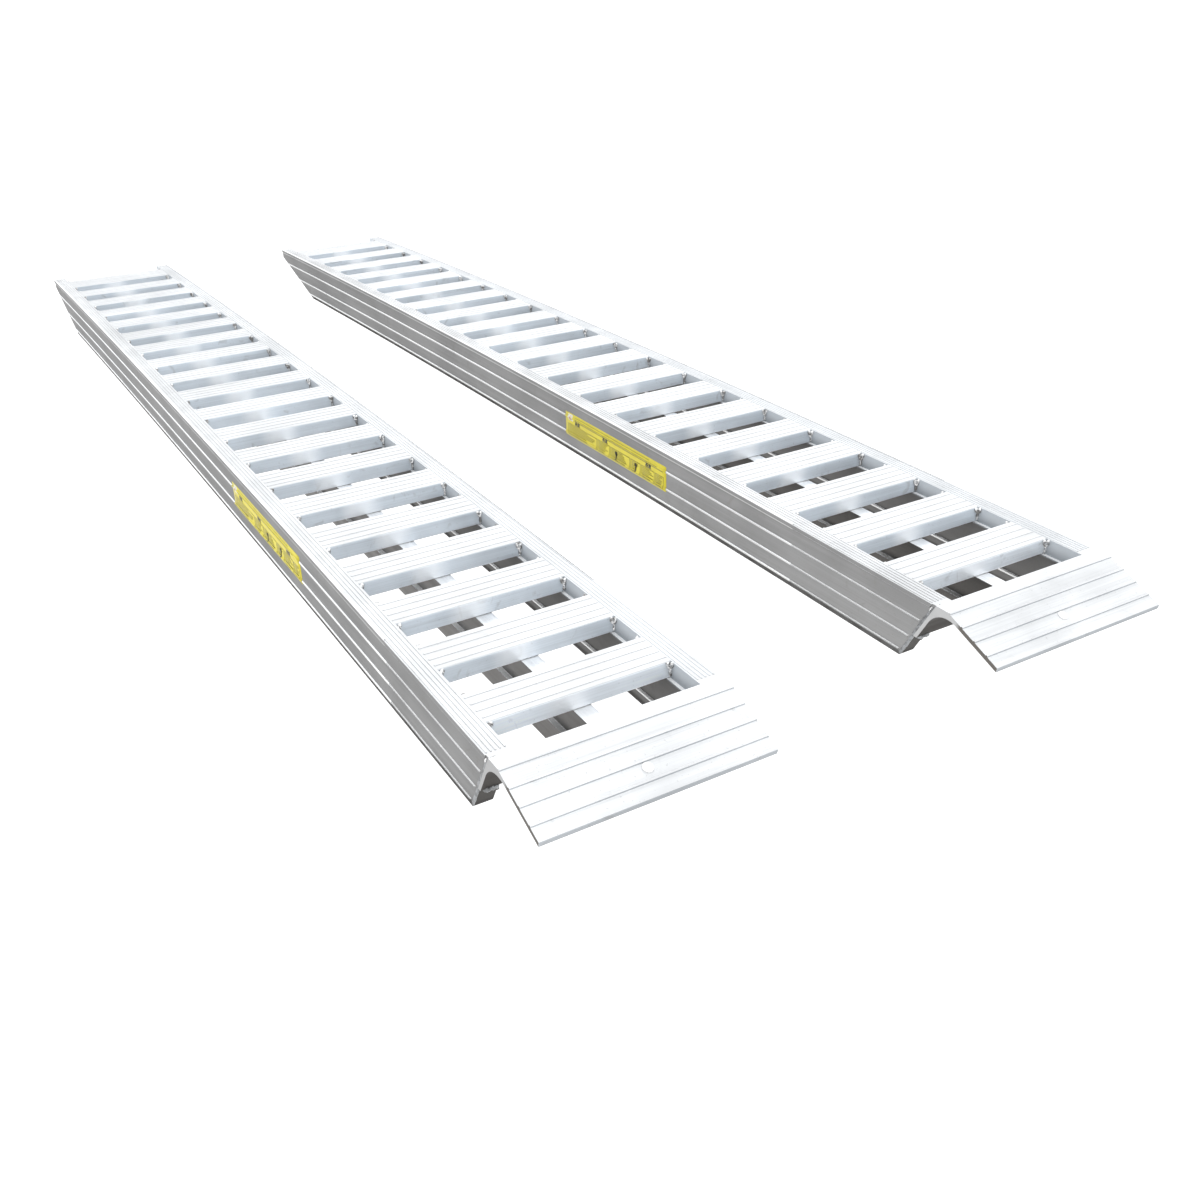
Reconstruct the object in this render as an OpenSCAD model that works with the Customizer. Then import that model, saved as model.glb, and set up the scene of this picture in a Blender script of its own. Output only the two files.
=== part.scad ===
// A pair of aluminium loading ramps, each a welded ladder of box rungs between two side rails,
// with a centre beam below, a wide plank at the ground end and a hook lip at the upper end.
// +X runs along the ramps towards the hook lips, +Y goes from the left ramp to the right one,
// and +Z is up. The origin is at the centre of the pair, on the ground.

/* [Pair] */
// Distance from the left ramp's left side to the right ramp's left side
ramp_spacing = 797; // [450:1:1500]
// How far the right ramp stands forward of the left one
right_ramp_lead = 10; // [0:1:60]

/* [Ramp] */
// Width of one ramp over its side rails
ramp_w = 380; // [300:5:500]
// Number of rungs between the end plank and the hook lip
rung_count = 19; // [7:2:21]
// Distance from one rung to the next
rung_pitch = 163.3; // [140:0.1:200]
// Length of each opening between two rungs
opening_l = 79.2; // [60:0.1:100]
// Upward bow of the unloaded ramp at mid length
camber = 17; // [0:0.5:40]

/* [Side rails] */
// Height of a side rail, without the ridges on its top
rail_h = 126; // [110:1:150]
// Width of a side rail's top
rail_top_w = 36; // [30:1:44]
// Width of a side rail's lower part
rail_foot_w = 34; // [28:1:36]
// Wall thickness of the rails and the beam
wall = 4; // [3:0.5:5]
// How far the ridges on the outer side stand proud
ridge_d = 1.8; // [1.4:0.1:3]
// Height of the square nose at the ground end, above the bevel
toe_nose_h = 26; // [10:1:30]
// Length of the bevel under the ground end
toe_run = 297; // [150:1:400]
// How far the rails run past the end plank
tip_l = 62; // [20:1:100]

/* [Rungs and beam] */
// Height of a rung's box, without its ribs
rung_h = 30; // [24:1:36]
// Wall thickness of a rung
rung_wall = 3; // [2:0.5:4]
// Length of the end plank along the ramp
end_plank_l = 110.5; // [80:0.5:140]
// Width of the centre beam's upper part
beam_top_w = 30; // [24:1:40]
// Width of the centre beam's lower part
beam_foot_w = 48; // [44:1:70]

/* [Hook lip] */
// Length of the sloping lip
lip_l = 122.4; // [80:0.1:160]
// Slope of the lip below the deck, in degrees
lip_slope = 23.2; // [10:0.1:35]
// Thickness of the lip
lip_t = 8; // [6:0.5:10]
// Radius of the arch between the lip and the hook's leg
arch_r = 45; // [30:1:50]
// Height of the foot of the hook's leg above the rail's foot
leg_foot_h = 51; // [40:1:70]

/* [Hidden] */
$fn = 48;

// Ridges and ribs
top_ridge_h = 1;
ridge_w = 2.8;
ridge_crown_w = 1.2;
ridge_shoulder_d = 1.2;
ridge_gap = 2;
outer_ridge_heights = [11, 45, 84];
inner_ridge_h = 26;
inner_ridge_d = 4.5;
ledge_d = 6;
flange_bead_h = 8;
top_ridge_w = 2.2;
top_ridge_count = 5;
rib_w = 3;
rib_h = 1;
lip_rib_w = 5;
lip_rib_h = 1.8;
// The ridges stop short of the rail's end by these lengths, to leave room for the weld
side_plain_l = 9;
top_plain_l = 13;

// The hook's flange starts this far behind the crease, and the rail's foot ends this far behind it
near_top_l = 27;
near_foot_l = 98;
leg_t = 8;
end_cap_l = 5;

// Locating pin
pin_at = 0.62 * lip_l;
shank_r = 7.5;
peg_r = 7;
pin_head_r = 8.5;
pin_head_h = 1.5;
peg_l = 26;
peg_tip_l = 3;

// Centre beam
beam_foot_h = 6;
beam_step_h = 47;
beam_foot_gap = 6;

// Label on the outer side of each ramp's left rail
label_at = 2135;
label_l = 432;
label_h = [38, 95];
label_t = 0.4;

// Lengths along a ramp, measured from the ground end
rung_w = rung_pitch - opening_l;
first_opening = tip_l + end_plank_l;
crease_x = first_opening + rung_count * rung_pitch + opening_l + near_top_l;
toe_h = rail_h - toe_nose_h;
seat_h = rail_h - rung_h;
deck_h = rail_h + top_ridge_h;

// Size of the pair, used to set the origin at its centre
lip_end_chamfer = 0.2 * lip_t;
lip_run = (lip_l - 1) * cos(lip_slope) - lip_end_chamfer * sin(lip_slope);
pair_l = crease_x + lip_run + right_ramp_lead;
pair_w = ramp_spacing + ramp_w + label_t;

// The bow is drawn as straight stretches that meet in the middle of every second opening
bend_x = concat(
    [0],
    [for (i = [1:2:rung_count - 1]) first_opening + opening_l / 2 + i * rung_pitch],
    [crease_x]
);
bow = [for (x = bend_x) [x, camber * (1 - pow(2 * x / crease_x - 1, 2))]];
rest_slope = (lookup(crease_x - near_foot_l, bow) - lookup(toe_run, bow))
    / (crease_x - near_foot_l - toe_run);

function rung_name(i) = str("rung_", i < 10 ? "0" : "", i);

// Height of the rail's foot line at x, with both ends of the foot on the ground
function foot_z(x) = lookup(x, bow) - lookup(toe_run, bow) - (x - toe_run) * rest_slope;

// Where a rail starts and ends at height h above its foot
function far_x(h) = h >= toe_h ? 0 : toe_run * (1 - h / toe_h);
function near_x(h) = crease_x - near_foot_l + (near_foot_l - near_top_l) * h / rail_h;

// Points at height h from x0 to x1, with one at each bend between them
function bowed_line(x0, x1, h) = [
    for (x = concat([x0], [for (b = bend_x) if (b > x0 && b < x1) b], [x1])) [x, foot_z(x) + h]
];
function backwards(points) = [for (i = [len(points) - 1:-1:0]) points[i]];

// An arc of points about a centre, from angle a0 to angle a1
function arc(centre, r, a0, a1, steps) = [
    for (i = [0:steps]) centre + r * [cos(a0 + (a1 - a0) * i / steps), sin(a0 + (a1 - a0) * i / steps)]
];

// A rectangle on the X axis, from 0 to w and from 0 to h, with rounded corners
function rounded_box(w, h, r) = concat(
    arc([w - r, h - r], r, 0, 90, 3),
    arc([r, h - r], r, 90, 180, 3),
    arc([r, r], r, 180, 270, 3),
    arc([w - r, r], r, 270, 360, 3)
);

// An outline drawn in the X-Z plane, given thickness from y0 to y1
module across(y0, y1) {
    translate([0, y1, 0])
        rotate([90, 0, 0])
            linear_extrude(y1 - y0) children();
}

// A bowed band between two heights that follows the ends of the rail, or stops short of them
module rail_band(y0, y1, h0, h1, near_gap = 0, far_gap = 0) {
    nose = h0 < toe_h && h1 > toe_h ? [[0, foot_z(0) + toe_h]] : [];
    across(y0, y1)
        polygon(concat(
            bowed_line(far_x(h0) + far_gap, near_x(h0) - near_gap, h0),
            backwards(bowed_line(far_x(h1) + far_gap, near_x(h1) - near_gap, h1)),
            nose
        ));
}

// The space inside a bowed section, open at both ends or closed by a cap at the hook's end
module hollow(y0, y1, h0, h1, capped = false) {
    end_0 = capped ? near_x(h0) - end_cap_l : crease_x + wall;
    end_1 = capped ? near_x(h1) - end_cap_l : crease_x + wall;
    across(y0, y1)
        polygon(concat(
            bowed_line(-wall, end_0, h0),
            backwards(bowed_line(-wall, end_1, h1))
        ));
}

// The left rail of a ramp: a hollow section, ridged outside and on top, with a ledge for the rungs
module side_rail() {
    color("silver") {
        difference() {
            union() {
                rail_band(ridge_d, rail_foot_w, 0, rail_h);
                rail_band(rail_foot_w - 1, rail_top_w, seat_h - wall, rail_h);
            }
            hollow(ridge_d + wall, rail_foot_w - wall, wall, rail_h - wall, true);
        }
        rail_band(rail_top_w - 1, rail_top_w + ledge_d, seat_h - wall, seat_h);
        rail_band(0, ridge_d + 1, rail_h - flange_bead_h, rail_h, side_plain_l);
        for (h = outer_ridge_heights) outer_ridge(h);
        rail_band(rail_foot_w - 1, rail_foot_w + inner_ridge_d, inner_ridge_h - 2, inner_ridge_h + 2);
        for (i = [0:top_ridge_count - 1]) top_ridge(4 + i * (rail_top_w - 8) / (top_ridge_count - 1));
    }
}

// A ridge along the outer side, with shoulders beside its crown
module outer_ridge(h) {
    shoulder_y = ridge_d - ridge_shoulder_d;
    crown_w = ridge_crown_w / 2;
    rail_band(shoulder_y, ridge_d + 1, h - ridge_w / 2, h + ridge_w / 2, side_plain_l, ridge_gap);
    rail_band(0, ridge_d + 1, h - crown_w, h + crown_w, side_plain_l + 1, ridge_gap + 1);
}

module top_ridge(y) {
    rail_band(y - top_ridge_w / 2, y + top_ridge_w / 2, rail_h - 1, deck_h, top_plain_l);
}

module right_rail() {
    translate([0, ramp_w, 0])
        mirror([0, 1, 0]) side_rail();
}

// A bowed band of the centre beam, with ends that slope like the rails' and stop short by a gap
module beam_band(y0, y1, h0, h1, gap = 0) {
    across(y0, y1)
        polygon(concat(
            bowed_line(far_x(h0) + tip_l + gap, near_x(h0) - gap, h0),
            backwards(bowed_line(far_x(h1) + tip_l + gap, near_x(h1) - gap, h1))
        ));
}

// The stiffening beam below the rungs, a hollow section with a wider foot
module centre_beam() {
    mid = ramp_w / 2;
    top_y = beam_top_w / 2;
    foot_y = beam_foot_w / 2;
    color("darkgray")
        difference() {
            union() {
                beam_band(mid - foot_y, mid + foot_y, beam_foot_h, beam_step_h, beam_foot_gap);
                beam_band(mid - top_y, mid + top_y, beam_step_h - 1, seat_h);
            }
            hollow(mid - foot_y + wall, mid + foot_y - wall, beam_foot_h + wall, beam_step_h - wall);
            hollow(mid - top_y + wall, mid + top_y - wall, beam_step_h - wall - 1, seat_h - wall);
        }
}

// A box section across the ramp that starts at x0 and sits on the rails' ledges
module cross_member(x0, w, ribs) {
    x_mid = x0 + w / 2;
    slope = atan((foot_z(x0 + w) - foot_z(x0)) / w);
    rib_step = (w - 2 * rib_w) / ribs;
    translate([x_mid, 0, foot_z(x_mid) + seat_h])
        rotate([0, -slope, 0])
            translate([-w / 2, 0, 0])
                across(rail_top_w, ramp_w - rail_top_w) {
                    difference() {
                        polygon(rounded_box(w, rung_h, 2.5));
                        translate([rung_wall, rung_wall])
                            square([w - 2 * rung_wall, rung_h - 2 * rung_wall]);
                    }
                    for (i = [0:ribs - 1])
                        translate([rib_w + rib_step * (i + 0.5) - rib_w / 2, rung_h - 0.5])
                            square([rib_w, rib_h + 0.5]);
                }
}

module rung(i) {
    color("gainsboro") cross_member(first_opening + opening_l + (i - 1) * rung_pitch, rung_w, 4);
}

module end_plank() {
    color("gainsboro") cross_member(tip_l, end_plank_l, 5);
}

// Directions down the hook's leg and down the lip, and the corner where their inner faces would meet
leg_lean = atan((near_foot_l - near_top_l) / rail_h);
leg_way = [-sin(leg_lean), -cos(leg_lean)];
lip_way = [cos(lip_slope), -sin(lip_slope)];
crease = [crease_x, foot_z(crease_x) + deck_h];
leg_face = [near_x(leg_foot_h) + leg_t, foot_z(near_x(leg_foot_h)) + leg_foot_h];
lip_face = crease - lip_t * [sin(lip_slope), cos(lip_slope)];
inner_corner = leg_face + cross(lip_face - leg_face, lip_way) / cross(leg_way, lip_way) * leg_way;
half_angle = acos(leg_way * lip_way) / 2;
arch_centre = inner_corner + (leg_way + lip_way) / norm(leg_way + lip_way) * arch_r / sin(half_angle);

// The hook's section: a short flange at deck level, a leg down the rails' ends and the sloping lip
function hook_outline() = concat(
    [
        [near_x(leg_foot_h), foot_z(near_x(leg_foot_h)) + leg_foot_h],
        leg_face
    ],
    arc(arch_centre, arch_r, 180 - leg_lean, 90 - lip_slope, 12),
    [
        lip_face + lip_l * lip_way,
        crease + (lip_l - 1) * lip_way - lip_end_chamfer * [sin(lip_slope), cos(lip_slope)],
        crease + (lip_l - 2) * lip_way,
        crease,
        [near_x(deck_h), foot_z(near_x(deck_h)) + deck_h]
    ]
);

// A rib across the lip, at a distance s down the slope from the crease
module lip_rib(s) {
    translate(crease + s * lip_way)
        rotate(-lip_slope)
            polygon([
                [0, -1],
                [lip_rib_w, -1],
                [lip_rib_w, 0],
                [lip_rib_w * 0.75, lip_rib_h],
                [lip_rib_w * 0.25, lip_rib_h],
                [0, 0]
            ]);
}

// Places a shape whose Z axis stands square on the lip at the pin
module at_pin() {
    translate([crease[0] + pin_at * lip_way[0], ramp_w / 2, crease[1] + pin_at * lip_way[1]])
        rotate([0, lip_slope, 0]) children();
}

module hook_lip() {
    color("lightgray")
        difference() {
            across(0, ramp_w) {
                polygon(hook_outline());
                for (i = [0:3]) lip_rib(i * lip_l / 4 + 1);
            }
            at_pin() translate([0, 0, -lip_t - 2]) cylinder(r = shank_r, h = lip_t + 4);
        }
}

// The pin through the lip: a low round head, a shank in the lip's hole and a chamfered peg below
module locating_pin() {
    color("silver")
        at_pin() {
            cylinder(r = pin_head_r, h = pin_head_h);
            translate([0, 0, -lip_t]) cylinder(r = shank_r, h = lip_t);
            translate([0, 0, -lip_t - peg_l]) cylinder(r = peg_r, h = peg_l);
            translate([0, 0, -lip_t - peg_l - peg_tip_l])
                cylinder(r1 = peg_r - 2, r2 = peg_r, h = peg_tip_l);
        }
}

module safety_label() {
    color("gold")
        across(-label_t, 0)
            polygon(concat(
                bowed_line(label_at, label_at + label_l, label_h[0]),
                backwards(bowed_line(label_at, label_at + label_l, label_h[1]))
            ));
}

// Stands a piece of a ramp at the left or the right ramp's place
module placed(side) {
    on_right = side == "right" ? 1 : 0;
    translate([
        on_right * right_ramp_lead - pair_l / 2,
        on_right * ramp_spacing + label_t - pair_w / 2,
        0
    ]) children();
}

for (side = ["left", "right"]) {
    ramp = str(side, "_ramp_");
    placed(side) side_rail();
    placed(side) right_rail();
    placed(side) centre_beam();
    placed(side) end_plank();
    for (i = [1:rung_count])
        placed(side) rung(i);
    placed(side) hook_lip();
    placed(side) locating_pin();
    placed(side) safety_label();
}
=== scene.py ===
"""A pair of aluminium loading ramps: materials for every CAD part, and the ridges, welds and labels.

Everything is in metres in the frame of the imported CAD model: +X runs up the ramps to the hook lips,
+Y goes from the left ramp to the right one, and Z is up, with the floor at 0.
"""

import math
import random

import bmesh
import bpy
from mathutils import Euler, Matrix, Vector


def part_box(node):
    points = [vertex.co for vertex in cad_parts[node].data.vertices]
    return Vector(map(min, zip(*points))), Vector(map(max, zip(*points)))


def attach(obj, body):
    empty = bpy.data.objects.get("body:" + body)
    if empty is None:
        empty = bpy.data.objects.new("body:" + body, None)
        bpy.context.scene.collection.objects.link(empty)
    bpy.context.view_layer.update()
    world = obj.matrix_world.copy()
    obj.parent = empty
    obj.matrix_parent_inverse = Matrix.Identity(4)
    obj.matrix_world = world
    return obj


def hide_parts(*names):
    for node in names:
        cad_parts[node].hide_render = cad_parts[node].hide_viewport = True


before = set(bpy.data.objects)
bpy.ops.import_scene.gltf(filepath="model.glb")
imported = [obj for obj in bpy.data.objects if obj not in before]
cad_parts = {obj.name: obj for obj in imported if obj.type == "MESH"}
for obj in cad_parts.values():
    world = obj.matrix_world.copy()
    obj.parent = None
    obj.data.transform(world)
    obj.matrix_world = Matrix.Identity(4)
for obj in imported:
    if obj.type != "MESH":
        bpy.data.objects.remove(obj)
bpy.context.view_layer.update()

RAMPS = ("left_ramp", "right_ramp")
X, Y, Z = Vector((1, 0, 0)), Vector((0, 1, 0)), Vector((0, 0, 1))

# Camera, at the photograph's viewing angle
CAMERA_AT = (2.8507, -1.1318, 1.0714)
CAMERA_TURN = (62.198, 1.365, 59.214)
CAMERA_LENS = 36.957
CAMERA_SENSOR = 36

# Studio: the world's white, and a soft box above and behind the ramps
WORLD_COLOUR = (0.97, 0.985, 1.0, 1)
WORLD_STRENGTH = 1.45
BOX_AT = (-2.5, 2.2, 3.2)
BOX_AIM = (0.4, 0, 0)
BOX_SIZE = (4.0, 3.0)
BOX_WATTS = 60
FLOOR_REACH = 40
FLOOR_GLOW = 1.2

# Two places this near each other count as one, along a rail or up from the floor
NEAR = 0.0005

# Points this near a rail's outermost Y are on its ridges
FLUSH = 0.0002

# Round crowns over the ridges of the rails' outer sides: each is sunk a little into the CAD model's
# flat ridge, and turns that many degrees up and down from straight out
RIDGE_R = 0.0019
RIDGE_SINK = 0.0001
RIDGE_STEPS = 12
RIDGE_HALF_TURN = 105
WIDEST_RIDGE = 0.003

# Heights above a rail's foot line: the inner ridge, and where a mask goes from 0 to 1. The masks place
# painted light and shade on the rails and on the rungs' rib sides, and the rails' darkening towards the
# foot.
INNER_RIDGE_Z = 0.026
FOOT_DARK_Z = (0.013, 0.005)
SEAT_Z = (0.092, 0.096)
INNER_WALL_Z = (0.094, 0.120)
BELOW_DECK_Z = (0.112, 0.106)
RIB_FOOT_Z = (0.1245, 0.1255)

# A part of a face's normal, where the mask of the faces that look that way goes from 0 to 1
FACING = (0.4, 0.8)
FACING_X = (0.5, 0.8)

# The band of painted sheen on a rung's sides: how far off the rung's middle, and where it fades in
SHEEN_BAND_OFF = 0.026
SHEEN_BAND_W = (0.062, 0.026)

# Welds: a bead has a ring of points at every quarter of its ripples' pitch. An OFF is how far a bead's
# centre lies from the edge that it fills.
WELD_SIDES = 12
WELD_RING_EVERY = 0.25
CORNER_WELD_R = 0.0038
CORNER_WELD_PITCH = 0.0050
CORNER_WELD_OFF = 0.0010
FORK_TOP = 0.0025
FORK_LENGTH = 0.011
FORK_SPREAD = 0.0065
BEAM_WELD_R = 0.0030
BEAM_WELD_PITCH = 0.0050
BEAM_WELD_OFF = 0.0008
BEAM_WELD_MARGIN = 0.008
HOOK_WELD_R = 0.0050
HOOK_WELD_PITCH = 0.0045
HOOK_WELD_OFF = 0.0015
HOOK_WELD_FLAT = (0.42, 0.40)
FOOT_WELD_R = 0.0056
SPOT_PITCH = 0.004
SPOT_R = 0.0026
BLOB_R = 0.0034
BLOB_LENGTH = 0.013

# What counts as a rail's end at the hook, as its top and as its base
RAIL_END_L = 0.12
RAIL_TOP_H = 0.03
RAIL_BASE_H = 0.01

# Label: a film whose back is sunk a little into the rail's surface, with ink on its face. Its corners
# are cut, by a share of its height.
FILM_T = 0.0003
FILM_SINK = 0.0001
FILM_CORNER = 0.03
FILM_COLUMNS = 24
FILM_ROW = 0.0008
INK_T = 0.0001
PRINT_ROWS = 6


# ---------------------------------------------------------------- nodes


class Graph:
    """Short calls for wiring one material's nodes."""

    def __init__(self, name, **shader):
        self.material = bpy.data.materials.new(name)
        self.material.use_nodes = True
        self.nodes = self.material.node_tree.nodes
        self.links = self.material.node_tree.links
        self.shader = self.nodes["Principled BSDF"]
        for key, value in shader.items():
            title = key.replace("_", " ").title().replace("Ior", "IOR")
            self.shader.inputs[title].default_value = value
        coords = self.nodes.new("ShaderNodeTexCoord")
        self.place = coords.outputs["Object"]
        self.normal = coords.outputs["Normal"]

    def put(self, socket, value):
        if isinstance(value, bpy.types.NodeSocket):
            self.links.new(value, socket)
        else:
            socket.default_value = value

    def math(self, operation, a, b=0.0):
        node = self.nodes.new("ShaderNodeMath")
        node.operation = operation
        self.put(node.inputs[0], a)
        self.put(node.inputs[1], b)
        return node.outputs[0]

    def between(self, value, low, high, to_low=0.0, to_high=1.0):
        """A smooth change from to_low at low to to_high at high."""
        node = self.nodes.new("ShaderNodeMapRange")
        node.interpolation_type = "SMOOTHSTEP"
        self.put(node.inputs["Value"], value)
        self.put(node.inputs["From Min"], low)
        self.put(node.inputs["From Max"], high)
        self.put(node.inputs["To Min"], to_low)
        self.put(node.inputs["To Max"], to_high)
        return node.outputs[0]

    def mix(self, share, a, b):
        node = self.nodes.new("ShaderNodeMix")
        node.data_type = "RGBA"
        self.put(node.inputs["Factor"], share)
        self.put(node.inputs["A"], a)
        self.put(node.inputs["B"], b)
        return node.outputs["Result"]

    def noise(self, scale, detail=3.0, stretch=(1, 1, 1), distortion=0.0):
        mapping = self.nodes.new("ShaderNodeMapping")
        mapping.inputs["Scale"].default_value = stretch
        self.links.new(self.place, mapping.inputs["Vector"])
        node = self.nodes.new("ShaderNodeTexNoise")
        node.inputs["Scale"].default_value = scale
        node.inputs["Detail"].default_value = detail
        node.inputs["Distortion"].default_value = distortion
        self.links.new(mapping.outputs[0], node.inputs["Vector"])
        return node.outputs["Fac"]

    def part(self, vector, axis):
        node = self.nodes.new("ShaderNodeSeparateXYZ")
        self.links.new(vector, node.inputs[0])
        return node.outputs[axis]

    def across(self, axis):
        """How squarely a face looks along one axis, either way."""
        return self.math("ABSOLUTE", self.part(self.normal, axis))

    def height_above(self, foot):
        """Height above a rail's foot line, whose bow is taken as a parabola."""
        from_middle = self.math("SUBTRACT", self.part(self.place, 0), foot.middle)
        along = self.math("DIVIDE", from_middle, foot.half)
        drop = self.math("MULTIPLY", self.math("MULTIPLY", along, along), foot.rise)
        bow = self.math("SUBTRACT", foot.rise, drop)
        return self.math("SUBTRACT", self.part(self.place, 2), bow)

    def edges(self, radius):
        """A mask that is 1 on sharp edges, and the normal with those edges rounded."""
        bevel = self.nodes.new("ShaderNodeBevel")
        bevel.samples = 4
        bevel.inputs["Radius"].default_value = radius
        geometry = self.nodes.new("ShaderNodeNewGeometry")
        dot = self.nodes.new("ShaderNodeVectorMath")
        dot.operation = "DOT_PRODUCT"
        self.links.new(bevel.outputs[0], dot.inputs[0])
        self.links.new(geometry.outputs["Normal"], dot.inputs[1])
        return self.between(dot.outputs["Value"], 0.995, 0.85), bevel.outputs[0]

    def bump(self, height, distance, strength=1.0, normal=None):
        node = self.nodes.new("ShaderNodeBump")
        node.inputs["Strength"].default_value = strength
        node.inputs["Distance"].default_value = distance
        self.links.new(height, node.inputs["Height"])
        if normal:
            self.links.new(normal, node.inputs["Normal"])
        self.links.new(node.outputs[0], self.shader.inputs["Normal"])

    def set(self, key, value):
        self.put(self.shader.inputs[key], value)


class FootLine:
    """The bowed line of a rail's foot, read from its mesh: points of (x, z) in order."""

    def __init__(self, node):
        points = [v.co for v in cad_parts[node].data.vertices]
        on_ground = [p.x for p in points if p.z < NEAR]
        self.start, self.end = min(on_ground), max(on_ground)
        lowest = {}
        for p in points:
            if self.start - NEAR < p.x < self.end + NEAR:
                key = round(p.x, 4)
                lowest[key] = min(p.z, lowest.get(key, 1))
        self.line = sorted(lowest.items())
        self.middle = (self.start + self.end) / 2
        self.half = (self.end - self.start) / 2
        self.rise = max(z for _, z in self.line)

    def bends(self, start, end):
        """Where a run from start to end has to bend to follow the line, with both ends."""
        return [start] + [x for x, _ in self.line[1:-1] if start < x < end] + [end]

    def at(self, x):
        """The line's height at x."""
        line = self.line
        i = max(1, min(len(line) - 1, sum(1 for p in line if p[0] < x)))
        (x0, z0), (x1, z1) = line[i - 1], line[i]
        return z0 + (z1 - z0) * (x - x0) / (x1 - x0)


class OuterSide:
    """A rail's outer side: its foot line, its outermost points and its ridges' heights above the foot."""

    def __init__(self, ramp, rail):
        node = f"{ramp}_{rail}"
        low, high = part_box(node)
        self.foot = FootLine(node)
        self.edge = low[1] if rail == "left_rail" else high[1]
        points = [v.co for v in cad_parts[node].data.vertices]
        self.crowns = [p for p in points if abs(p.y - self.edge) < FLUSH]
        bend = self.foot.line[len(self.foot.line) // 2][0]
        levels = sorted(p.z - self.foot.at(bend) for p in self.crowns if abs(p.x - bend) < NEAR)
        pairs = zip(levels[::2], levels[1::2])
        self.ridges = [(under + over) / 2 for under, over in pairs if over - under < WIDEST_RIDGE]


def grey(level, warmth=0.0):
    """A grey of that linear level, warmer above 0 and bluer below it."""
    return (level * (1 + warmth), level, level * (1 - warmth), 1)


def aluminium(
    name, grain, top, ends, sides, under, roughness=0.36, top_from=0.35, metallic=1.0, graze=1.0
):
    """Mill-finish aluminium whose grain runs along one axis. Returns its graph and its colour so far.

    top, ends (facing X), sides (facing Y) and under are the colours of the faces by the way they look, and
    paint light and shade into them: painted light on the tops, painted shade on the undersides.
    A face starts to take the top colour where its normal's Z passes top_from, and graze below 1 holds
    back the shine seen at a low angle.
    """
    g = Graph(name, metallic=metallic, specular_ior_level=0.3 * graze)
    g.set("Specular Tint", (graze, graze, graze, 1))
    up = g.part(g.normal, 2)
    fine = [520, 520, 520]
    broad = [60, 60, 60]
    fine[grain] = 5
    broad[grain] = 1.2
    streaks = g.noise(1, 3, fine)
    bands = g.noise(1, 4, broad)
    clouds = g.noise(7, 5, distortion=0.4)
    smudges = g.between(g.noise(26, 6, distortion=1.2), 0.60, 0.74)
    specks = g.between(g.noise(240, 2), 0.66, 0.76)

    # Painted light and shade by the way a face turns: the top colour is painted light, the under colour
    # painted shade.
    colour = g.mix(g.between(g.across(0), *FACING_X), sides, ends)
    upward = g.between(up, top_from, top_from + 0.45)
    colour = g.mix(upward, colour, top)
    colour = g.mix(g.between(up, -0.35, -0.8), colour, under)
    shade = g.math("ADD", g.math("MULTIPLY", streaks, 0.26), g.math("MULTIPLY", bands, 0.34))
    shade = g.math("ADD", shade, g.math("MULTIPLY", clouds, 0.40))
    shade = g.between(shade, 0.34, 0.66, 0.84, 1.09)
    shaded = g.nodes.new("ShaderNodeVectorMath")
    shaded.operation = "SCALE"
    g.links.new(colour, shaded.inputs[0])
    g.links.new(shade, shaded.inputs["Scale"])
    smudged = g.math("MULTIPLY", smudges, g.between(upward, 0.0, 1.0, 0.30, 0.07))
    colour = g.mix(smudged, shaded.outputs[0], grey(0.22, 0.06))
    colour = g.mix(g.math("MULTIPLY", specks, 0.25), colour, grey(0.14, 0.10))
    worn, rounded = g.edges(0.0012)
    worn = g.math("MULTIPLY", worn, g.between(clouds, 0.30, 0.60, 0.25, 0.85))
    colour = g.mix(worn, colour, grey(0.88, -0.01))

    rough = g.between(bands, 0.25, 0.75, roughness - 0.07, roughness + 0.09)
    rough = g.math("ADD", rough, g.math("MULTIPLY", smudges, 0.14))
    rough = g.math("ADD", rough, g.math("MULTIPLY", upward, 0.12))
    g.set("Base Color", colour)
    g.set("Roughness", g.math("SUBTRACT", rough, g.math("MULTIPLY", worn, 0.08)))
    height = g.math("ADD", streaks, g.math("MULTIPLY", clouds, 0.5))
    g.bump(height, 0.00006, 0.5, rounded)
    return g, colour


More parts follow.
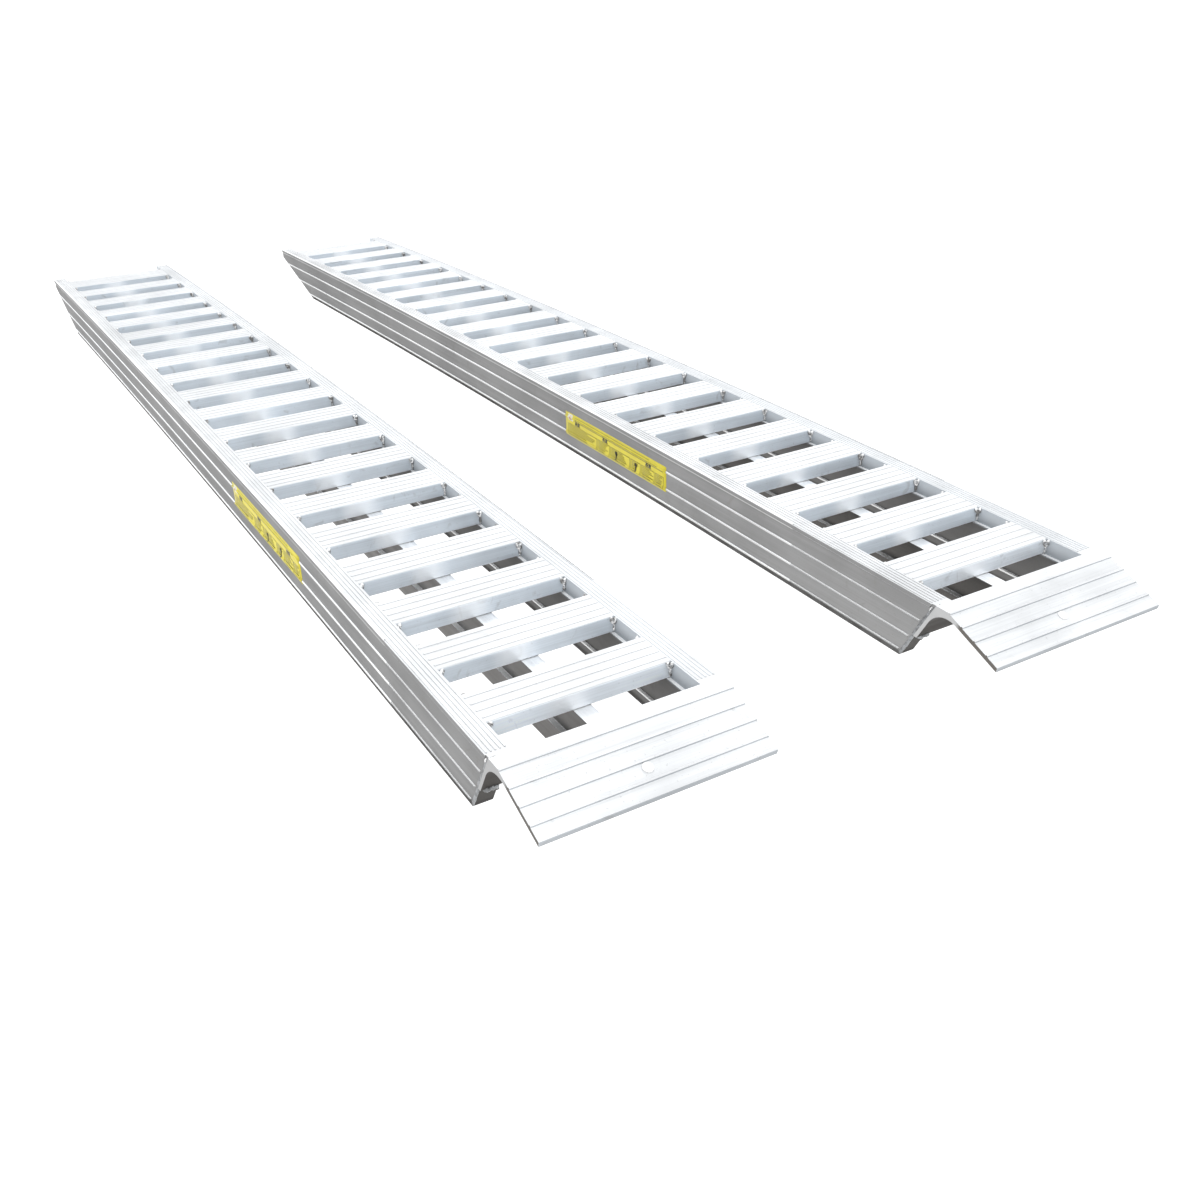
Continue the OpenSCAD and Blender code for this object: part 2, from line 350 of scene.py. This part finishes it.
def finish_rail(name, inner_sign, foot):
    """A side rail with painted light and shade: painted light on its upward faces below the deck, where the
    rungs sit, and a painted highlight along its inner ridge; painted shade on its inner side below, and
    darker towards its foot.

    inner_sign is 1 where the rail's inner side looks along +Y, and -1 where it looks along -Y.
    """
    g, colour = aluminium(
        name,
        0,
        top=grey(0.76, -0.01),
        ends=grey(0.11, 0.05),
        sides=grey(0.27, 0.005),
        under=grey(0.06, 0.04),
        roughness=0.46,
        metallic=0.35,
        graze=0.12,
    )
    height = g.height_above(foot)
    inner = g.between(g.math("MULTIPLY", g.part(g.normal, 1), inner_sign), *FACING)
    upward = g.between(g.part(g.normal, 2), *FACING)
    below_deck = g.between(height, *BELOW_DECK_Z)
    above_seat = g.between(height, *SEAT_Z)
    below_seat = g.math("SUBTRACT", 1.0, above_seat)
    # Painted shade on the inner wall: lighter higher up, and dark below the rungs' seat.
    inner_wall = g.mix(g.between(height, *INNER_WALL_Z), grey(0.40, -0.06), grey(0.62, -0.05))
    colour = g.mix(g.math("MULTIPLY", inner, above_seat), colour, inner_wall)
    colour = g.mix(g.math("MULTIPLY", inner, below_seat), colour, grey(0.19, 0.02))
    # Painted light: upward faces below the deck are white.
    colour = g.mix(g.math("MULTIPLY", upward, below_deck), colour, grey(0.97))
    # A painted highlight along the inner ridge.
    off_ridge = g.math("ABSOLUTE", g.math("SUBTRACT", height, INNER_RIDGE_Z))
    on_ridge = g.math("MULTIPLY", inner, g.between(off_ridge, 0.0022, 0.0014))
    colour = g.mix(on_ridge, colour, grey(0.90))
    # Darker towards the foot of the rail.
    patchy = g.between(g.noise(30, 5), 0.3, 0.7, 0.75, 1.0)
    foot_darkening = g.math("MULTIPLY", g.between(height, *FOOT_DARK_Z), patchy)
    g.set("Base Color", g.mix(foot_darkening, colour, grey(0.07, 0.03)))
    return g.material


def finish_ridge():
    """The rounded ridges, painted bright above as a highlight and dark below as painted shade."""
    g, _ = aluminium(
        "ridge_aluminium",
        0,
        top=grey(0.97, -0.01),
        ends=grey(0.60),
        sides=grey(0.60, 0.01),
        under=grey(0.10, 0.05),
        top_from=0.10,
    )
    return g.material


def finish_beam():
    """The centre beam: painted dark as shade except for its top, which is painted bright with the light
    that falls between the rungs.
    """
    g, _ = aluminium(
        "beam_aluminium",
        0,
        top=grey(0.97),
        ends=grey(0.25),
        sides=grey(0.095, 0.05),
        under=grey(0.08, 0.05),
    )
    return g.material


def finish_rung(name, middle_y, half_w, foot, ends):
    """A rung: its sides are brightest in a band of painted sheen near the middle, and dull by the end
    welds.

    middle_y and half_w are the rung's middle and half its length, and ends is the colour of its long
    sides, which face X, and carries the painted light and reflection on them.
    """
    g, colour = aluminium(
        name,
        1,
        top=grey(0.70, -0.01),
        ends=ends,
        sides=grey(0.40),
        under=grey(0.16, 0.03),
        roughness=0.44,
        metallic=0.4,
    )
    off_middle = g.math("ABSOLUTE", g.math("SUBTRACT", g.part(g.place, 1), middle_y))
    # A band of painted sheen on the rung's sides near its middle.
    off_patch = g.math("ABSOLUTE", g.math("SUBTRACT", g.part(g.place, 1), middle_y - SHEEN_BAND_OFF))
    not_top = g.between(g.part(g.normal, 2), 0.6, 0.3)
    wander = g.math("MULTIPLY", g.noise(14, 4), 0.03)
    sheen_band = g.between(g.math("ADD", off_patch, wander), *SHEEN_BAND_W)
    sheen_band = g.math("MULTIPLY", g.math("MULTIPLY", sheen_band, not_top), 0.65)
    colour = g.mix(sheen_band, colour, grey(0.93, -0.02))
    heated = g.between(g.math("SUBTRACT", off_middle, wander), half_w - 0.030, half_w - 0.004)
    heated = g.math("MULTIPLY", g.math("MULTIPLY", heated, not_top), 0.5)
    colour = g.mix(heated, colour, grey(0.46))
    # Painted shade on the rib sides above the rung's top, so the ribs show as lines.
    sideways = g.between(g.across(0), *FACING_X)
    rib_side = g.math("MULTIPLY", sideways, g.between(g.height_above(foot), *RIB_FOOT_Z))
    g.set("Base Color", g.mix(rib_side, colour, grey(0.60, -0.02)))
    return g.material


def finish_hook(name, middle_x, deck_z):
    """The hook: a lip and flange painted white as light, with the arch's inner faces painted dark as shade.

    The leg is what lies behind middle_x, and deck_z is the height of the hook's top.
    """
    g, colour = aluminium(
        name,
        1,
        top=grey(0.75, -0.01),
        ends=grey(0.40, -0.05),
        sides=grey(0.125, 0.08),
        under=grey(0.05, 0.09),
        metallic=0.6,
        graze=0.4,
    )
    # The leg's sides are painted a lighter grey than the hook's other sides, whose dark grey is painted
    # shade.
    leg = g.between(g.part(g.place, 0), middle_x + 0.008, middle_x - 0.004)
    side = g.between(g.across(1), *FACING)
    colour = g.mix(g.math("MULTIPLY", leg, side), colour, grey(0.43))
    # Painted shade on the arch's inner faces.
    below_top = g.between(g.part(g.place, 2), deck_z - 0.010, deck_z - 0.016)
    forward = g.math("MULTIPLY", g.between(g.part(g.normal, 0), 0.2, 0.5), below_top)
    downward = g.between(g.part(g.normal, 2), 0.0, -0.2)
    arch_painted_shade = g.math("MULTIPLY", leg, g.math("MAXIMUM", forward, downward))
    g.set("Base Color", g.mix(arch_painted_shade, colour, grey(0.065, 0.07)))
    return g.material


def finish_pin():
    """Turned and zinc-plated steel."""
    g = Graph("plated_steel", metallic=1.0)
    turned = g.noise(1, 2, (300, 300, 2600))
    patches = g.noise(160, 4)
    g.set("Base Color", g.mix(g.between(patches, 0.35, 0.65), grey(0.74, 0.01), grey(0.86)))
    g.set("Roughness", g.between(patches, 0.3, 0.7, 0.20, 0.38))
    g.bump(turned, 0.00005, 0.6, g.edges(0.0006)[1])
    return g.material


def finish_weld():
    """Weld metal: bright grains with patches of soot."""
    g = Graph("weld_metal", metallic=1.0)
    soot = g.noise(90, 5, distortion=0.6)
    grains = g.noise(900, 3)
    bright = g.mix(g.between(grains, 0.3, 0.7), grey(0.62, 0.01), grey(0.90))
    g.set("Base Color", g.mix(g.between(soot, 0.47, 0.60, 0.0, 0.85), bright, grey(0.16, 0.05)))
    g.set("Roughness", g.between(soot, 0.35, 0.65, 0.22, 0.48))
    g.bump(g.math("ADD", grains, soot), 0.0004, 0.5)
    return g.material


def finish_flat_weld():
    """Broad weld metal that was brushed after welding: grey, with brighter edges."""
    g = Graph("flat_weld_metal", metallic=1.0)
    grains = g.noise(700, 4, distortion=0.4)
    soot = g.noise(120, 5)
    worn, rounded = g.edges(0.0015)
    colour = g.mix(g.between(soot, 0.4, 0.6), grey(0.17, -0.02), grey(0.30, -0.03))
    g.set("Base Color", g.mix(g.math("MULTIPLY", worn, 0.7), colour, grey(0.70)))
    g.set("Roughness", g.between(grains, 0.3, 0.7, 0.34, 0.55))
    g.bump(grains, 0.0004, 0.6, rounded)
    return g.material


def finish_label():
    """Yellow vinyl, faded in patches and scuffed where it lies over the rail's ridges."""
    g = Graph("label_vinyl", metallic=0.0, specular_ior_level=0.45)
    faded = g.noise(22, 5, distortion=0.5)
    scuffs = g.between(g.noise(1, 4, (40, 500, 500)), 0.62, 0.72)
    colour = g.mix(g.between(faded, 0.35, 0.68), (0.54, 0.46, 0.015, 1), (0.60, 0.52, 0.035, 1))
    worn, rounded = g.edges(0.0007)
    wear = g.math("MAXIMUM", g.math("MULTIPLY", scuffs, 0.35), g.math("MULTIPLY", worn, 0.55))
    g.set("Base Color", g.mix(wear, colour, (0.66, 0.62, 0.24, 1)))
    g.set("Roughness", g.between(faded, 0.3, 0.7, 0.38, 0.56))
    g.bump(g.noise(400, 3), 0.00008, 0.4, rounded)
    return g.material


def finish_ink(name, solid, faded):
    """Printed ink that has worn thin in places."""
    g = Graph(name, metallic=0.0, specular_ior_level=0.4)
    thin = g.between(g.noise(420, 4), 0.46, 0.66)
    g.set("Base Color", g.mix(thin, solid, faded))
    g.set("Roughness", g.between(g.noise(150, 3), 0.3, 0.7, 0.42, 0.62))
    g.bump(g.noise(900, 2), 0.00003, 0.3)
    return g.material


# ---------------------------------------------------------------- mesh


def piece(name, bm, ramp, materials):
    """Turns a bmesh into a named piece that rides on a ramp."""
    mesh = bpy.data.meshes.new(name)
    bmesh.ops.recalc_face_normals(bm, faces=bm.faces)
    bm.to_mesh(mesh)
    bm.free()
    obj = bpy.data.objects.new(name, mesh)
    bpy.context.scene.collection.objects.link(obj)
    for material in materials:
        mesh.materials.append(material)
    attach(obj, ramp)
    return obj


def bead(bm, start, end, radius, pitch, rng, flatten=1.0, up=Z):
    """A rippled weld bead from start to end, made of overlapping puddles and closed at both ends.

    flatten is its size along the axis up, as a share of its size across that axis.
    """
    along = end - start
    length = along.length
    along = along.normalized()
    side = along.cross(up).normalized()
    lift = side.cross(along)
    steps = max(10, round(length / pitch / WELD_RING_EVERY))
    puddle = [1 + rng.uniform(-0.10, 0.12) for _ in range(int(length / pitch) + 2)]
    sway = [rng.uniform(-0.12, 0.12) for _ in range(len(puddle))]
    turns = [2 * math.pi * k / WELD_SIDES for k in range(WELD_SIDES)]
    rings = []
    for i in range(steps + 1):
        at = length * i / steps
        count = at / pitch
        crown = 0.84 + 0.16 * abs(math.cos(math.pi * (count % 1 - 0.25)))
        from_end = min(at, length - at, radius) / radius
        taper = math.sqrt(max(0.0, 1 - (1 - from_end) ** 2))
        r = radius * crown * puddle[int(count)] * max(taper, 0.25)
        centre = start + along * at + side * (radius * sway[int(count)])
        places = (centre + side * (r * math.cos(a)) + lift * (r * flatten * math.sin(a)) for a in turns)
        rings.append([bm.verts.new(place) for place in places])
    for a, b in zip(rings, rings[1:]):
        for k in range(WELD_SIDES):
            n = (k + 1) % WELD_SIDES
            bm.faces.new((a[k], a[n], b[n], b[k])).smooth = True
    bm.faces.new(rings[0])
    bm.faces.new(list(reversed(rings[-1])))


def rung_names(ramp):
    """One ramp's rungs, from the ground end to the hook."""
    return sorted(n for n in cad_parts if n.startswith(ramp + "_rung_"))


def corner_welds(ramp, weld):
    """Welds between the rungs' and the plank's sides and the rails: each a fork at the top, and a run."""
    rng = random.Random("corner " + ramp)
    bm = bmesh.new()
    for name in rung_names(ramp) + [ramp + "_end_plank"]:
        low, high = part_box(name)
        for x, out in ((high[0], 1), (low[0], -1)):
            for y, inward in ((low[1], 1), (high[1], -1)):
                at = Vector((x + out * CORNER_WELD_OFF, y + inward * CORNER_WELD_OFF, 0))
                top = high[2] - FORK_TOP
                middle = top - FORK_LENGTH - rng.uniform(0, 0.004)
                foot = low[2] + rng.uniform(0.001, 0.004)
                lean = X * (out * 0.001) + Y * (inward * 0.0015)
                fork = at + Z * middle
                for aside in (Y * inward, X * out):
                    tip = at + Z * top + aside * FORK_SPREAD
                    bead(bm, fork + lean, tip, CORNER_WELD_R, CORNER_WELD_PITCH, rng, up=X)
                bead(bm, at + Z * foot, fork, CORNER_WELD_R * 0.8, CORNER_WELD_PITCH, rng, up=X)
    piece(ramp + "_rung_welds", bm, ramp, [weld])


def beam_welds(ramp, weld):
    """Fillet welds between the centre beam's top and the underside of each rung."""
    rng = random.Random("beam " + ramp)
    bm = bmesh.new()
    beam = [v.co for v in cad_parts[ramp + "_centre_beam"].data.vertices]
    highest = max(p.z for p in beam)
    top_sides = [p.y for p in beam if p.z > highest - 0.02]
    low_y, high_y = min(top_sides), max(top_sides)
    for name in rung_names(ramp):
        low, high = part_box(name)
        for y, out in ((low_y, -1), (high_y, 1)):
            at = Vector((0, y + out * BEAM_WELD_OFF, low[2] - BEAM_WELD_OFF))
            margin = BEAM_WELD_MARGIN + rng.uniform(0, 0.006)
            start, end = at + X * (low[0] + margin), at + X * (high[0] - margin)
            bead(bm, start, end, BEAM_WELD_R, BEAM_WELD_PITCH, rng)
    piece(ramp + "_beam_welds", bm, ramp, [weld])


def rail_bevel(ramp, rail):
    """The top and the foot of a rail's end at the hook, and the Y of the foot's two sides."""
    points = [v.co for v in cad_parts[f"{ramp}_{rail}"].data.vertices]
    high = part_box(f"{ramp}_{rail}")[1]
    near = [p for p in points if p.x > high[0] - RAIL_END_L]
    base = [p for p in near if p.z < RAIL_BASE_H]
    foot = max(base, key=lambda p: p.x)
    top = max((p for p in near if p.z > high[2] - RAIL_TOP_H), key=lambda p: p.x)
    sides = [p.y for p in base]
    return Vector((top.x, 0, top.z)), Vector((foot.x, 0, foot.z)), min(sides), max(sides)


def hook_welds(ramp, weld, flat_weld):
    """Welds at the hook: flat ones down the rails' ends, round ones across them, and spots at the top."""
    rng = random.Random("hook " + ramp)
    bm = bmesh.new()
    spots = bmesh.new()
    rail_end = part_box(ramp + "_left_rail")[1][0]
    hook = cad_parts[ramp + "_hook_lip"].data.vertices
    leg_foot = min(v.co.z for v in hook if v.co.x < rail_end)
    for rail in ("left_rail", "right_rail"):
        top, foot, low_y, high_y = rail_bevel(ramp, rail)
        down = (foot - top).normalized()
        on_left = rail == "left_rail"
        outer = low_y + HOOK_WELD_OFF if on_left else high_y - HOOK_WELD_OFF
        inner = high_y if on_left else low_y
        # Where the foot of the hook's leg crosses the rail's sloping end
        joint = top + down * ((top.z - leg_foot) / -down.z)

        # Down the rail's end, beside the leg and then thinner below it
        beside, below = HOOK_WELD_FLAT
        for y, r in ((outer, HOOK_WELD_R), (inner, HOOK_WELD_R * 0.4)):
            at = Y * y - X * HOOK_WELD_OFF
            first, last = at + top + down * 0.006, at + foot - down * 0.003
            bead(bm, first, at + joint, r, HOOK_WELD_PITCH, rng, flatten=beside, up=Y)
            bead(bm, at + joint, last, r * 0.7, HOOK_WELD_PITCH, rng, flatten=below, up=Y)

        # Across the rail's end, at the leg's foot
        across = joint + X * 0.0050 - Z * 0.0012
        left, right = Y * (low_y + 0.004), Y * (high_y - 0.004)
        bead(bm, across + left, across + right, FOOT_WELD_R, HOOK_WELD_PITCH, rng)

        # A spot along the top edge, and a blob down the outer one
        spot = top - Z * 0.002 - X * 0.001
        inward = 0.001 if on_left else -0.001
        spot_start, spot_end = spot + Y * (outer + inward), spot + Y * (outer + 11 * inward)
        bead(spots, spot_start, spot_end, SPOT_R, SPOT_PITCH, rng)
        blob = top + down * 0.006 - X * 0.005 + Y * outer
        bead(spots, blob, blob + down * BLOB_LENGTH, BLOB_R, SPOT_PITCH, rng, flatten=0.6, up=Y)
    piece(ramp + "_hook_weld_spots", spots, ramp, [weld])
    piece(ramp + "_hook_welds", bm, ramp, [flat_weld])


def rail_ridges(ramp, rail, finish):
    """Round crowns over the ridges of a rail's outer side."""
    side = OuterSide(ramp, rail)
    inward = 1 if rail == "left_rail" else -1
    turns = [math.radians(RIDGE_HALF_TURN * (2 * k / RIDGE_STEPS - 1)) for k in range(RIDGE_STEPS + 1)]
    bm = bmesh.new()
    for ridge in side.ridges:
        run = [p.x for p in side.crowns if abs(p.z - side.foot.at(p.x) - ridge) < 0.001]
        rings = []
        for x in side.foot.bends(min(run), max(run)):
            ring = []
            for a in turns:
                y = side.edge + (RIDGE_R - RIDGE_SINK - RIDGE_R * math.cos(a)) * inward
                ring.append(bm.verts.new((x, y, side.foot.at(x) + ridge + RIDGE_R * math.sin(a))))
            rings.append(ring)
        for a, b in zip(rings, rings[1:]):
            for k in range(RIDGE_STEPS):
                bm.faces.new((a[k], a[k + 1], b[k + 1], b[k])).smooth = True
            bm.faces.new((a[-1], a[0], b[0], b[-1]))
        bm.faces.new(rings[0])
        bm.faces.new(list(reversed(rings[-1])))
    piece(f"{ramp}_{rail}_ridges", bm, ramp, [finish])


# ---------------------------------------------------------------- label


class Sticker:
    """A label stuck over the rail's ridges.

    Places on it are shares of its length and height: u runs towards the hook, and v from its foot up.
    """

    def __init__(self, ramp):
        side = OuterSide(ramp, "left_rail")
        self.foot = side.foot
        self.ridges = side.ridges
        self.wall = side.edge + RIDGE_R - RIDGE_SINK
        points = [v.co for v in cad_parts[ramp + "_safety_label"].data.vertices]
        low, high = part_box(ramp + "_safety_label")
        self.start, self.end = low[0], high[0]
        at_start = [p.z - self.foot.at(p.x) for p in points if p.x - low[0] < 0.001]
        self.low, self.high = min(at_start), max(at_start)
        self.aspect = (self.end - self.start) / (self.high - self.low)
        self.bm = bmesh.new()

    def point(self, u, v, out):
        """A point on the rail's side, lifted over the ridges by smooth slopes and then out by that much."""
        x = self.start + (self.end - self.start) * u
        h = self.low + (self.high - self.low) * v
        lift = 0.0
        for ridge in self.ridges:
            t = min(1, max(0, (abs(h - ridge) - 0.0006) / 0.0026))
            lift = max(lift, (RIDGE_R + 0.0002) * (1 - t * t * (3 - 2 * t)))
        return Vector((x, self.wall - lift - out, self.foot.at(x) + h))

    def sheet(self, rows, back_out, face_out, columns, material):
        """A closed thin sheet, with a row of points from u0 to u1 for each (v, u0, u1) in rows."""
        layers = []
        for out in (back_out, face_out):
            layer = []
            for v, u0, u1 in rows:
                places = (self.point(u0 + (u1 - u0) * k / columns, v, out) for k in range(columns + 1))
                layer.append([self.bm.verts.new(place) for place in places])
            layers.append(layer)
        for layer in layers:
            for a, b in zip(layer, layer[1:]):
                for k in range(columns):
                    self.quad(a[k], a[k + 1], b[k + 1], b[k], material).smooth = True
        back, face = layers
        for k in range(columns):
            for r in (0, -1):
                self.quad(back[r][k], back[r][k + 1], face[r][k + 1], face[r][k], material)
        for r in range(len(rows) - 1):
            for k in (0, -1):
                self.quad(back[r][k], back[r + 1][k], face[r + 1][k], face[r][k], material)

    def quad(self, a, b, c, d, material):
        made = self.bm.faces.new((a, b, c, d))
        made.material_index = material
        return made

    def ink(self, v0, v1, width, material, columns=1):
        """Ink between two heights, where width(v) gives its two edges."""
        count = max(2, math.ceil((v1 - v0) * (self.high - self.low) / FILM_ROW))
        heights = [v0 + (v1 - v0) * i / count for i in range(count + 1)]
        rows = [(v, *width(v)) for v in heights]
        self.sheet(rows, FILM_T - INK_T, FILM_T + INK_T, columns, material)

    def bar(self, u0, u1, v0, v1, material):
        columns = max(1, round((u1 - u0) * FILM_COLUMNS))
        self.ink(v0, v1, lambda v: (u0, u1), material, columns)

    def disc(self, u, v, r, material):
        """A disc whose radius is a share of the label's height."""

        def width(at):
            half = math.sqrt(max(0.0, r * r - (at - v) ** 2)) + 0.08 * r
            return u - half / self.aspect, u + half / self.aspect

        self.ink(v - r, v + r, width, material)

    def wedge(self, u, v, size, material):
        """A triangle that points up."""

        def width(at):
            half = size * max(0.06, (v + size - at) / (1.8 * size))
            return u - half / self.aspect, u + half / self.aspect

        self.ink(v - size * 0.8, v + size, width, material)

    def outline(self, u0, u1, v0, v1, material, line=0.034):
        """A frame whose line is a share of the label's height."""
        thin = line / self.aspect
        self.bar(u0, u1, v0, v0 + line, material)
        self.bar(u0, u1, v1 - line, v1, material)
        self.bar(u0, u0 + thin, v0 + line, v1 - line, material)
        self.bar(u1 - thin, u1, v0 + line, v1 - line, material)


def label_film(ramp, finish):
    """The label's vinyl, which follows the ridges under it and takes the place of the CAD label."""
    s = Sticker(ramp)
    count = round((s.high - s.low) / FILM_ROW)
    rows = []
    for i in range(count + 1):
        v = i / count
        cut = max(0.0, FILM_CORNER - v, v - (1 - FILM_CORNER)) / s.aspect * 0.8
        rows.append((v, cut, 1 - cut))
    s.sheet(rows, -FILM_SINK, FILM_T, FILM_COLUMNS, 0)
    film = piece(ramp + "_label_film", s.bm, ramp, [finish])
    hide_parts(ramp + "_safety_label")


def label_print(ramp, inks):
    """A generic notice with no text: header bars, outlined panels, plain symbols and rows of blank bars."""
    black, red, white, olive = range(4)
    rng = random.Random("label")
    s = Sticker(ramp)
    s.bar(0.030, 0.078, 0.68, 0.96, white)
    s.wedge(0.054, 0.80, 0.11, red)
    s.bar(0.095, 0.97, 0.715, 0.770, olive)
    for u in (0.13, 0.42, 0.84):
        s.wedge(u - 0.016, 0.70, 0.11, black)
        s.disc(u + 0.010, 0.68, 0.085, black)
        s.bar(u - 0.030, u + 0.026, 0.565, 0.600, black)
    panels = (0.025, 0.34, 0.47, 0.67, 0.77, 0.90, 0.982)
    for u0, u1 in zip(panels, panels[1:]):
        s.outline(u0, u1 - 0.006, 0.045, 0.54, olive)
        for row in range(PRINT_ROWS):
            v = 0.12 + row * 0.34 / (PRINT_ROWS - 1)
            end = u1 - 0.016 - rng.uniform(0, 0.35) * (u1 - u0)
            s.bar(u0 + 0.010, end, v - 0.018, v + 0.018, olive)
    for u in (0.53, 0.72):
        s.disc(u, 0.38, 0.09, black)
        s.bar(u - 0.006, u + 0.006, 0.12, 0.30, black)
    for v in (0.82, 0.90):
        s.bar(0.10, 0.93 - rng.uniform(0, 0.1), v - 0.012, v + 0.012, olive)
    piece(ramp + "_label_print", s.bm, ramp, inks)


# ---------------------------------------------------------------- dress the object


def dress(node, material):
    """Gives a CAD node one material."""
    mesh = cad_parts[node].data
    mesh.materials.clear()
    mesh.materials.append(material)


foot_line = FootLine("left_ramp_left_rail")
left_rail_finish = finish_rail("rail_left_aluminium", 1, foot_line)
right_rail_finish = finish_rail("rail_right_aluminium", -1, foot_line)
ridge_finish = finish_ridge()
beam_finish = finish_beam()
pin_finish = finish_pin()
weld_finish = finish_weld()
flat_weld_finish = finish_flat_weld()
label_finish = finish_label()
inks = [
    finish_ink("ink_black", (0.02, 0.02, 0.018, 1), (0.16, 0.15, 0.05, 1)),
    finish_ink("ink_red", (0.60, 0.05, 0.03, 1), (0.70, 0.22, 0.08, 1)),
    finish_ink("ink_white", (0.66, 0.66, 0.62, 1), (0.64, 0.60, 0.30, 1)),
    finish_ink("ink_olive", (0.15, 0.13, 0.015, 1), (0.34, 0.29, 0.022, 1)),
]

for ramp in RAMPS:
    low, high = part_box(ramp + "_rung_01")
    middle_y, half_w = (low[1] + high[1]) / 2, (high[1] - low[1]) / 2
    rung_at = (middle_y, half_w, foot_line)
    # The rungs' long sides carry painted light and reflection; the rung nearest the hook is a copy painted
    # brighter, as lit from the front.
    rung_finish = finish_rung(ramp + "_rung_aluminium", *rung_at, grey(0.67, -0.08))
    near_rung_lit_finish = finish_rung(ramp + "_near_rung_painted_light_aluminium", *rung_at, grey(0.95, -0.05))
    dress(ramp + "_left_rail", left_rail_finish)
    dress(ramp + "_right_rail", right_rail_finish)
    dress(ramp + "_centre_beam", beam_finish)
    low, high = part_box(ramp + "_hook_lip")
    hook_finish = finish_hook(ramp + "_hook_aluminium", (low[0] + high[0]) / 2, high[2])
    dress(ramp + "_hook_lip", hook_finish)
    dress(ramp + "_locating_pin", pin_finish)
    dress(ramp + "_safety_label", label_finish)
    *rungs, nearest = rung_names(ramp)
    for name in rungs + [ramp + "_end_plank"]:
        dress(name, rung_finish)
    dress(nearest, near_rung_lit_finish)
    rail_ridges(ramp, "left_rail", ridge_finish)
    rail_ridges(ramp, "right_rail", ridge_finish)
    corner_welds(ramp, weld_finish)
    beam_welds(ramp, weld_finish)
    hook_welds(ramp, weld_finish, flat_weld_finish)
    label_film(ramp, label_finish)
    label_print(ramp, inks)


# ---------------------------------------------------------------- studio


def make_floor():
    """A pale floor that glows a little, as a lit studio table does."""
    g = Graph("studio_floor", roughness=0.9, specular_ior_level=0.1)
    tone = g.noise(0.6, 2)
    g.set("Base Color", g.mix(tone, (0.20, 0.20, 0.20, 1), (0.22, 0.22, 0.22, 1)))
    g.set("Emission Color", (1, 1, 1, 1))
    g.set("Emission Strength", FLOOR_GLOW)
    mesh = bpy.data.meshes.new("studio_floor")
    corners = [(a * FLOOR_REACH, b * FLOOR_REACH, 0) for a, b in ((-1, -1), (1, -1), (1, 1), (-1, 1))]
    mesh.from_pydata(corners, [], [(0, 1, 2, 3)])
    floor = bpy.data.objects.new("studio_floor", mesh)
    bpy.context.scene.collection.objects.link(floor)
    mesh.materials.append(g.material)


def make_light():
    """A white studio with one broad soft box above and behind."""
    world = bpy.data.worlds.new("studio")
    bpy.context.scene.world = world
    world.use_nodes = True
    background = world.node_tree.nodes["Background"]
    background.inputs["Color"].default_value = WORLD_COLOUR
    background.inputs["Strength"].default_value = WORLD_STRENGTH
    lamp = bpy.data.lights.new("soft_box", "AREA")
    lamp.shape = "RECTANGLE"
    lamp.size, lamp.size_y = BOX_SIZE
    lamp.energy = BOX_WATTS
    box = bpy.data.objects.new("soft_box", lamp)
    bpy.context.scene.collection.objects.link(box)
    box.location = BOX_AT
    box.rotation_euler = (Vector(BOX_AIM) - box.location).to_track_quat("-Z", "Y").to_euler()


def make_camera():
    """The camera that stands where the photograph's did."""
    data = bpy.data.cameras.new("camera")
    data.lens = CAMERA_LENS
    data.sensor_width = CAMERA_SENSOR
    camera = bpy.data.objects.new("camera", data)
    bpy.context.scene.collection.objects.link(camera)
    camera.location = CAMERA_AT
    camera.rotation_euler = Euler([math.radians(a) for a in CAMERA_TURN])
    bpy.context.scene.camera = camera


make_floor()
make_light()
make_camera()
bpy.context.scene.view_settings.view_transform = "Standard"
